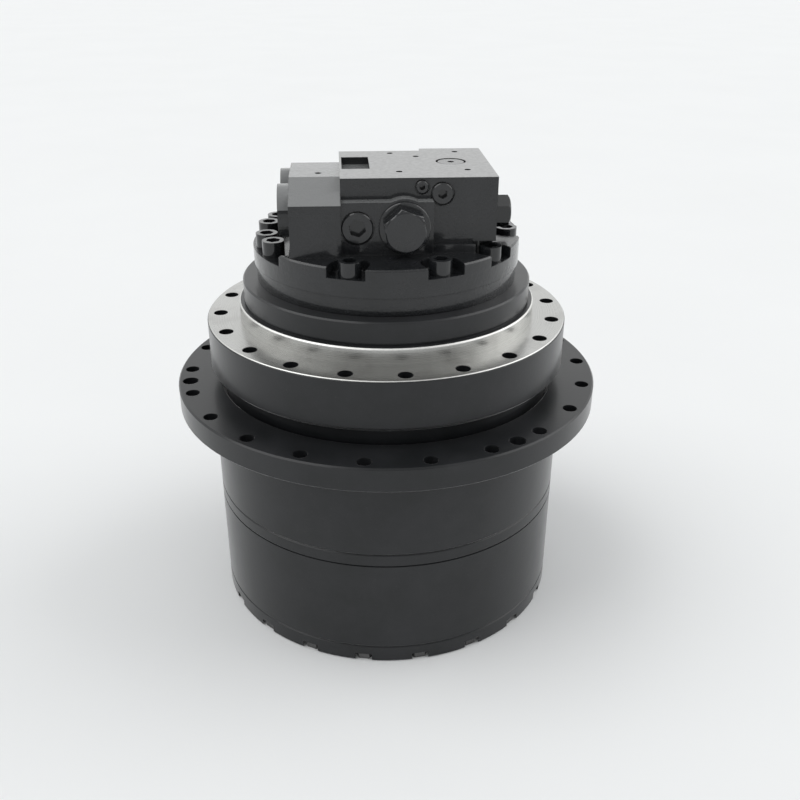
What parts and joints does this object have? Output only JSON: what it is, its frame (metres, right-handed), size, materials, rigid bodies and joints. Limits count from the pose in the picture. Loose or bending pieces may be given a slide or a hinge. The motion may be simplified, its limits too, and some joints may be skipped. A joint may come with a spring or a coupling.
{
  "type": "hydraulic final drive",
  "caption": "Tracked machine final drive: hydraulic piston motor with valve block, fixed flanged spindle, and a rotating hub driven through two planetary stages.",
  "frame": {"origin": "axis of rotation at the underside of the end cover", "axes": "+Z along the axis towards the valve block; +Y towards the back of the valve block; X and Y square to the block's sides"},
  "size_m": [0.4319, 0.432, 0.459],
  "materials": {
    "hub_paint": "gloss black paint over cast iron",
    "ring_paint": "gloss black paint over steel",
    "end_cover_paint": "gloss black paint over cast iron",
    "casing_paint": "gloss black paint, frame face and pilot left as bare turned steel",
    "rear_cover_paint": "gloss black paint over rough casting",
    "screw_paint": "black paint over steel screws",
    "cap_paint": "black paint over steel",
    "plug_paint": "black paint over steel plugs",
    "bolt_steel": "dark steel",
    "ground_steel": "ground steel",
    "seal_rubber": "black rubber",
    "seal_iron": "lapped hard iron",
    "bronze": "bronze",
    "cage_brass": "brass",
    "brake_lining": "brake lining on steel"
  },
  "bodies": {
    "casing_body": {"bearing_nut": "bolt_steel", "brake_disc_spring": "ground_steel", "brake_separator_plates": "ground_steel", "carrier_2": "ground_steel", "carrier_2_bolts": "bolt_steel", "cover_plugs": "plug_paint", "front_bearing_outer_ring": "ground_steel", "main_bearing_cages": "cage_brass", "main_bearing_inner_rings": "ground_steel", "motor_casing": "casing_paint", "planet_2_needle_cages": "cage_brass", "planet_2_pins": "ground_steel", "planet_2_washers": "bronze", "rear_bearing_outer_ring": "ground_steel", "rear_cover": "rear_cover_paint", "rear_cover_screws": "screw_paint", "relief_valve": "cap_paint", "servo_pistons": "ground_steel", "shaft_seal": "seal_rubber", "spool_end_caps": "cap_paint", "swash_pivots": "ground_steel", "swash_plate": "ground_steel", "upper_seal_cord": "seal_rubber", "upper_seal_ring": "seal_iron", "valve_plate": "bronze"},
    "hub_body": {"hub": "hub_paint", "ring_gear": "ring_paint", "end_cover": "end_cover_paint", "end_cover_bolts": "bolt_steel", "oil_plugs": "bolt_steel", "thrust_button": "ground_steel", "main_bearing_outer_rings": "ground_steel", "lower_seal_ring": "seal_iron", "lower_seal_cord": "seal_rubber"},
    "rotor_body": {"motor_shaft": "ground_steel", "shaft_coupling": "ground_steel", "sun_gear_1": "ground_steel", "cylinder_block": "ground_steel", "pistons": "ground_steel", "piston_shoes": "bronze", "shoe_retainer_plate": "ground_steel", "retainer_guide": "bronze", "block_spring": "ground_steel", "friction_discs": "brake_lining", "front_bearing_rollers": "ground_steel", "rear_bearing_rollers": "ground_steel"},
    "carrier_1_body": {"carrier_1": "ground_steel", "planet_1_pins": "ground_steel", "planet_1_needle_cages": "cage_brass", "planet_1_washers": "bronze", "sun_gear_2": "ground_steel"},
    "planet_1_a_body": {"planet_1_a": "ground_steel"},
    "planet_2_a_body": {"planet_2_a": "ground_steel"},
    "planet_1_b_body": {"planet_1_b": "ground_steel"},
    "planet_2_b_body": {"planet_2_b": "ground_steel"},
    "planet_1_c_body": {"planet_1_c": "ground_steel"},
    "planet_2_c_body": {"planet_2_c": "ground_steel"},
    "counterbalance_spool_body": {"counterbalance_spool": "ground_steel"},
    "two_speed_spool_body": {"two_speed_spool": "ground_steel"},
    "brake_piston_body": {"brake_piston": "ground_steel"}
  },
  "joints": [
    {"name": "hub_spin", "type": "hinge", "parent": "casing_body", "child": "hub_body", "pos_m": [0, 0, 0.2], "axis": [0, 0, 1], "continuous": true},
    {"name": "rotor_spin", "type": "hinge", "parent": "casing_body", "child": "rotor_body", "pos_m": [0, 0, 0.25], "axis": [0, 0, 1], "continuous": true},
    {"name": "carrier_1_spin", "type": "hinge", "parent": "casing_body", "child": "carrier_1_body", "pos_m": [0, 0, 0.053], "axis": [0, 0, 1], "continuous": true},
    {"name": "planet_1_a_spin", "type": "hinge", "parent": "carrier_1_body", "child": "planet_1_a_body", "pos_m": [0.084, 0, 0.035], "axis": [0, 0, 1], "continuous": true},
    {"name": "planet_2_a_spin", "type": "hinge", "parent": "casing_body", "child": "planet_2_a_body", "pos_m": [0.09, 0, 0.094], "axis": [0, 0, 1], "continuous": true},
    {"name": "planet_1_b_spin", "type": "hinge", "parent": "carrier_1_body", "child": "planet_1_b_body", "pos_m": [-0.042, 0.07275, 0.035], "axis": [0, 0, 1], "continuous": true},
    {"name": "planet_2_b_spin", "type": "hinge", "parent": "casing_body", "child": "planet_2_b_body", "pos_m": [-0.045, 0.07794, 0.094], "axis": [0, 0, 1], "continuous": true},
    {"name": "planet_1_c_spin", "type": "hinge", "parent": "carrier_1_body", "child": "planet_1_c_body", "pos_m": [-0.042, -0.07275, 0.035], "axis": [0, 0, 1], "continuous": true},
    {"name": "planet_2_c_spin", "type": "hinge", "parent": "casing_body", "child": "planet_2_c_body", "pos_m": [-0.045, -0.07794, 0.094], "axis": [0, 0, 1], "continuous": true},
    {"name": "counterbalance_slide", "type": "slide", "parent": "casing_body", "child": "counterbalance_spool_body", "axis": [0, 1, 0], "range_m": [-0.008, 0.008]},
    {"name": "two_speed_slide", "type": "slide", "parent": "casing_body", "child": "two_speed_spool_body", "axis": [0, 1, 0], "range_m": [0, 0.006]},
    {"name": "brake_slide", "type": "slide", "parent": "casing_body", "child": "brake_piston_body", "axis": [0, 0, 1], "range_m": [0, 0.0025], "deforming": ["brake_disc_spring"]}
  ],
  "couplings": [
    {"joint": "rotor_spin", "follows": "hub_spin", "ratio": -34},
    {"joint": "carrier_1_spin", "follows": "hub_spin", "ratio": -4},
    {"joint": "planet_1_a_spin", "follows": "hub_spin", "ratio": 12},
    {"joint": "planet_2_a_spin", "follows": "hub_spin", "ratio": 2.6667},
    {"joint": "planet_1_b_spin", "follows": "hub_spin", "ratio": 12},
    {"joint": "planet_2_b_spin", "follows": "hub_spin", "ratio": 2.6667},
    {"joint": "planet_1_c_spin", "follows": "hub_spin", "ratio": 12},
    {"joint": "planet_2_c_spin", "follows": "hub_spin", "ratio": 2.6667}
  ]
}
